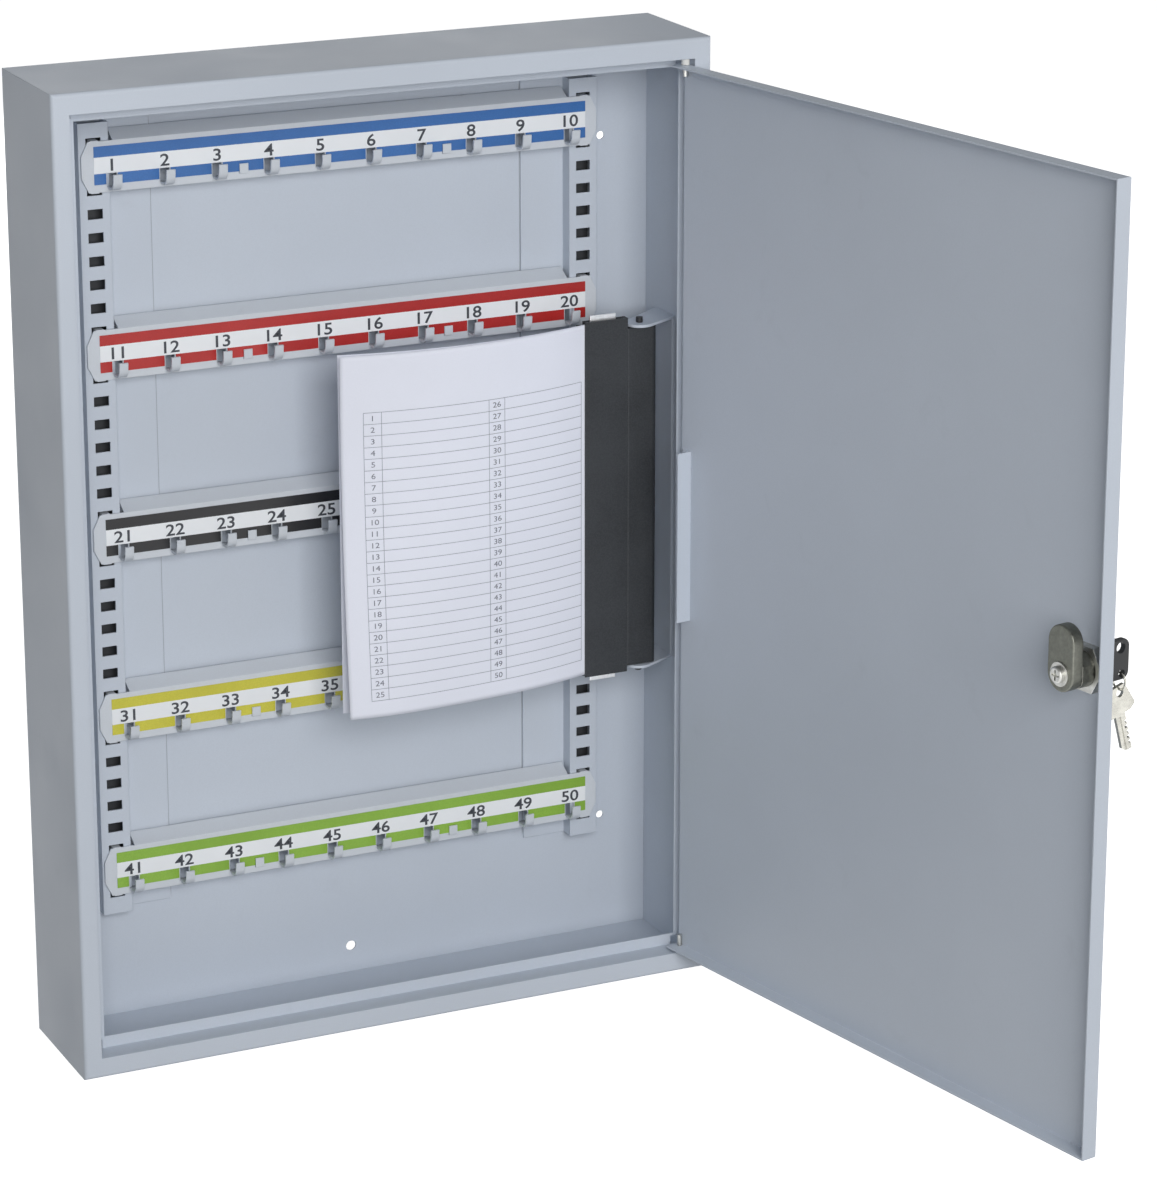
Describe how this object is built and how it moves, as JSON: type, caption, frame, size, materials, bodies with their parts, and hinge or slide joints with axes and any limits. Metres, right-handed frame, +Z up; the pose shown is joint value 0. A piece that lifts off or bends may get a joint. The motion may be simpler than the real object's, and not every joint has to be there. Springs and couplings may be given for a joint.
{
  "type": "key cabinet",
  "caption": "Shallow wall cabinet of folded steel with a hinged locking door, numbered hook rails on slotted uprights and a swinging index register.",
  "frame": {"origin": "centre of the four wall-fixing holes, on the wall plane at the cabinet's back", "axes": "+X right seen from the front, +Y into the wall, +Z up"},
  "size_m": [0.462, 0.4255, 0.55],
  "materials": {
    "body_paint": "fine texture light grey powder coat",
    "rail_paint": "smooth light grey powder coat",
    "zinc_steel": "zinc plated",
    "nylon": "natural nylon",
    "die_cast": "dull cast zinc",
    "key_steel": "nickel plated",
    "bright_steel": "bright spring steel",
    "black_steel": "black",
    "black_plastic": "black, finely grained",
    "paper": "white ruled paper",
    "label_blue": "printed strip, white with two coloured stripes",
    "label_red": "printed strip, white with two coloured stripes",
    "label_black": "printed strip, white with two coloured stripes",
    "label_yellow": "printed strip, white with two coloured stripes",
    "label_green": "printed strip, white with two coloured stripes"
  },
  "bodies": {
    "cabinet": {"cabinet_shell": "body_paint", "back_panel": "body_paint", "upright_left": "body_paint", "upright_right": "body_paint", "hinge_pin_top": "zinc_steel", "hinge_pin_bottom": "zinc_steel", "hinge_bush_top": "nylon", "hinge_bush_bottom": "nylon", "register_bracket": "body_paint"},
    "door": {"door_panel": "body_paint", "hinge_side_bracket": "body_paint", "lock_housing": "die_cast", "lock_nut": "zinc_steel"},
    "lock_plug_body": {"lock_plug": "die_cast", "cam": "die_cast", "cam_washer": "zinc_steel", "cam_screw": "zinc_steel"},
    "key": {"key_blade": "key_steel", "key_bow": "black_plastic", "key_ring": "key_steel"},
    "spare_key_body": {"spare_key": "key_steel"},
    "register": {"register_cover": "black_plastic", "register_clamp": "bright_steel", "register_rod": "black_steel", "register_sheet_front": "paper", "register_sheet_back": "paper"},
    "rail_1": {"hook_rail_1": "rail_paint", "label_strip_1": "label_blue"},
    "rail_2": {"hook_rail_2": "rail_paint", "label_strip_2": "label_red"},
    "rail_3": {"hook_rail_3": "rail_paint", "label_strip_3": "label_black"},
    "rail_4": {"hook_rail_4": "rail_paint", "label_strip_4": "label_yellow"},
    "rail_5": {"hook_rail_5": "rail_paint", "label_strip_5": "label_green"}
  },
  "joints": [
    {"name": "door_hinge", "type": "hinge", "parent": "cabinet", "child": "door", "pos_m": [0.1754, -0.0772, 0], "axis": [0, 0, 1], "range_deg": [-101, 9]},
    {"name": "lock_turn", "type": "hinge", "parent": "door", "child": "lock_plug_body", "pos_m": [0.24234, -0.40689, 0.0015], "axis": [0.9816, 0.1908, 0], "range_deg": [0, 90]},
    {"name": "key_pull", "type": "slide", "parent": "lock_plug_body", "child": "key", "axis": [0.9816, 0.1908, 0], "range_m": [0, 0.03]},
    {"name": "spare_key_swing", "type": "hinge", "parent": "key", "child": "spare_key_body", "pos_m": [0.26148, -0.40316, -0.0166], "axis": [0.1908, -0.9816, 0], "range_deg": [-30, 25]},
    {"name": "register_swing", "type": "hinge", "parent": "cabinet", "child": "register", "pos_m": [0.165, -0.042, 0.003], "axis": [0, 0, 1], "range_deg": [0, 80]},
    {"name": "rail_1_lift_off", "type": "slide", "parent": "cabinet", "child": "rail_1", "axis": [0, -1, 0], "range_m": [0, 0.01]},
    {"name": "rail_2_lift_off", "type": "slide", "parent": "cabinet", "child": "rail_2", "axis": [0, -1, 0], "range_m": [0, 0.01]},
    {"name": "rail_3_lift_off", "type": "slide", "parent": "cabinet", "child": "rail_3", "axis": [0, -1, 0], "range_m": [0, 0.01]},
    {"name": "rail_4_lift_off", "type": "slide", "parent": "cabinet", "child": "rail_4", "axis": [0, -1, 0], "range_m": [0, 0.01]},
    {"name": "rail_5_lift_off", "type": "slide", "parent": "cabinet", "child": "rail_5", "axis": [0, -1, 0], "range_m": [0, 0.01]}
  ]
}
